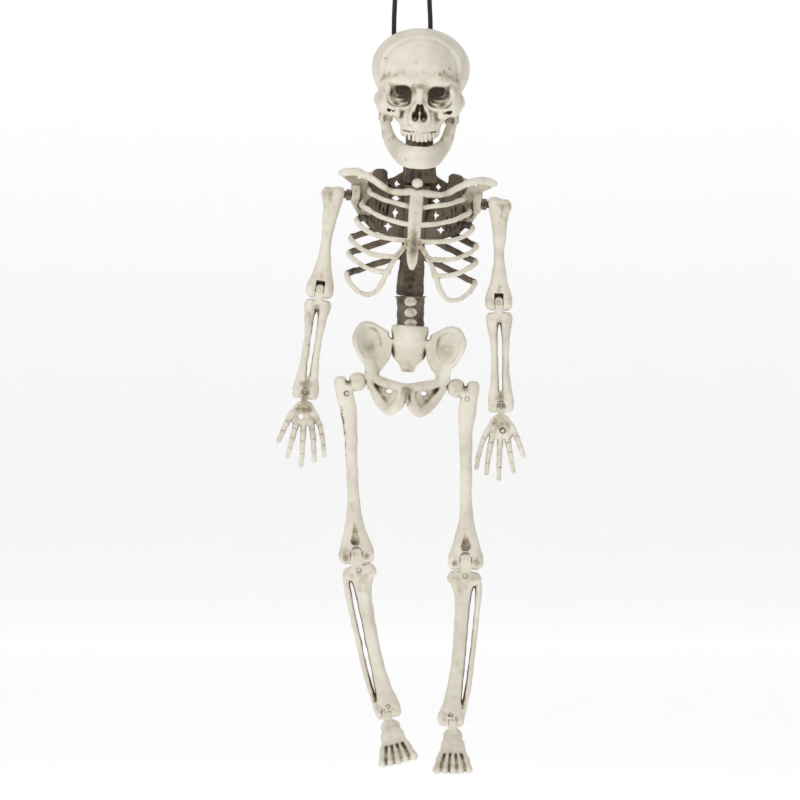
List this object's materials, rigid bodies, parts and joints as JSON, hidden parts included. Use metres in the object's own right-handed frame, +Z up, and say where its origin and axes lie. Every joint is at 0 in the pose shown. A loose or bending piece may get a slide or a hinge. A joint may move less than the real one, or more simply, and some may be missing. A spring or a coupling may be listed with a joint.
{
  "type": "hanging skeleton decoration",
  "caption": "Small jointed plastic skeleton that hangs from a cord loop through its skull, with hinged limbs, a swivelling neck and waist, and a stained antique finish.",
  "frame": {"origin": "top of the hanging loop, where a hook carries it", "axes": "+Z up, the figure hangs below and faces -Y, its own left side is at +X"},
  "size_m": [0.1342, 0.0576, 0.4471],
  "materials": {
    "ivory_plastic": "matt ivory with a brown stain wiped into its recesses",
    "brown_washed_plastic": "matt, stained dark brown nearly all over",
    "pin_plastic": "matt moulded pins",
    "black_cord": "black twisted cord"
  },
  "bodies": {
    "head": {"skull_face": "ivory_plastic", "skull_back": "ivory_plastic", "jaw_pin_right": "pin_plastic", "jaw_pin_left": "pin_plastic", "hanging_cord": "black_cord", "cord_knot_right": "black_cord", "cord_knot_left": "black_cord"},
    "jaw": {"jaw": "ivory_plastic"},
    "torso": {"neck_post": "brown_washed_plastic", "ribcage_front": "ivory_plastic", "ribcage_back": "brown_washed_plastic", "shoulder_peg_right": "brown_washed_plastic", "shoulder_peg_left": "brown_washed_plastic", "lumbar_front": "ivory_plastic", "lumbar_back": "brown_washed_plastic"},
    "pelvis": {"pelvis_front": "ivory_plastic", "pelvis_back": "ivory_plastic", "hip_peg_right": "ivory_plastic", "hip_peg_left": "ivory_plastic"},
    "upper_arm_right": {"humerus_right": "ivory_plastic", "elbow_pin_right": "pin_plastic"},
    "forearm_right": {"forearm_right": "ivory_plastic", "wrist_pin_right": "pin_plastic"},
    "hand_right": {"hand_right": "ivory_plastic"},
    "thigh_right": {"femur_right": "ivory_plastic", "knee_pin_right": "pin_plastic"},
    "shin_right": {"shin_right": "ivory_plastic", "ankle_pin_right": "pin_plastic"},
    "foot_right": {"foot_right": "ivory_plastic"},
    "upper_arm_left": {"humerus_left": "ivory_plastic", "elbow_pin_left": "pin_plastic"},
    "forearm_left": {"forearm_left": "ivory_plastic", "wrist_pin_left": "pin_plastic"},
    "hand_left": {"hand_left": "ivory_plastic"},
    "thigh_left": {"femur_left": "ivory_plastic", "knee_pin_left": "pin_plastic"},
    "shin_left": {"shin_left": "ivory_plastic", "ankle_pin_left": "pin_plastic"},
    "foot_left": {"foot_left": "ivory_plastic"}
  },
  "joints": [
    {"name": "jaw_hinge", "type": "hinge", "parent": "head", "child": "jaw", "pos_m": [0.00352, 0.003, -0.09467], "axis": [0.999, 0, -0.0436], "range_deg": [0, 10]},
    {"name": "neck_swivel", "type": "hinge", "parent": "head", "child": "torso", "pos_m": [0.0039, 0.006, -0.095], "axis": [0, 0, 1], "range_deg": [-45, 45]},
    {"name": "waist_swivel", "type": "hinge", "parent": "torso", "child": "pelvis", "pos_m": [-0.0009, 0.006, -0.212], "axis": [0, 0, 1], "range_deg": [-40, 40]},
    {"name": "shoulder_right", "type": "hinge", "parent": "torso", "child": "upper_arm_right", "pos_m": [-0.04244, 0.004, -0.13626], "axis": [-0.9976, 0, 0.0698], "range_deg": [-60, 120]},
    {"name": "elbow_right", "type": "hinge", "parent": "upper_arm_right", "child": "forearm_right", "pos_m": [-0.04975, 0.004, -0.18825], "axis": [-0.9903, 0, 0.1392], "range_deg": [0, 95]},
    {"name": "wrist_right", "type": "hinge", "parent": "forearm_right", "child": "hand_right", "pos_m": [-0.05747, 0.004, -0.24321], "axis": [-0.9903, 0, 0.1392], "range_deg": [-60, 60]},
    {"name": "hip_right", "type": "hinge", "parent": "pelvis", "child": "thigh_right", "pos_m": [-0.02949, 0.002, -0.23752], "axis": [-0.9981, 0, 0.061], "range_deg": [-20, 90]},
    {"name": "knee_right", "type": "hinge", "parent": "thigh_right", "child": "shin_right", "pos_m": [-0.02999, 0.002, -0.33037], "axis": [0.9987, 0, 0.0506], "range_deg": [0, 95]},
    {"name": "ankle_right", "type": "hinge", "parent": "shin_right", "child": "foot_right", "pos_m": [-0.01397, 0.002, -0.41435], "axis": [-0.9823, 0, -0.1874], "range_deg": [0, 35]},
    {"name": "shoulder_left", "type": "hinge", "parent": "torso", "child": "upper_arm_left", "pos_m": [0.04694, 0.004, -0.14251], "axis": [-0.9976, 0, 0.0698], "range_deg": [-60, 120]},
    {"name": "elbow_left", "type": "hinge", "parent": "upper_arm_left", "child": "forearm_left", "pos_m": [0.04667, 0.004, -0.19501], "axis": [-1, 0, 0.0052], "range_deg": [0, 95]},
    {"name": "wrist_left", "type": "hinge", "parent": "forearm_left", "child": "hand_left", "pos_m": [0.04783, 0.004, -0.2505], "axis": [-0.9998, 0, -0.0209], "range_deg": [-60, 60]},
    {"name": "hip_left", "type": "hinge", "parent": "pelvis", "child": "thigh_left", "pos_m": [0.02361, 0.002, -0.24077], "axis": [-0.9981, 0, 0.061], "range_deg": [-20, 90]},
    {"name": "knee_left", "type": "hinge", "parent": "thigh_left", "child": "shin_left", "pos_m": [0.02881, 0.002, -0.33347], "axis": [1, 0, 0], "range_deg": [0, 95]},
    {"name": "ankle_left", "type": "hinge", "parent": "shin_left", "child": "foot_left", "pos_m": [0.02195, 0.002, -0.41869], "axis": [-0.9968, 0, 0.0802], "range_deg": [0, 35]}
  ]
}
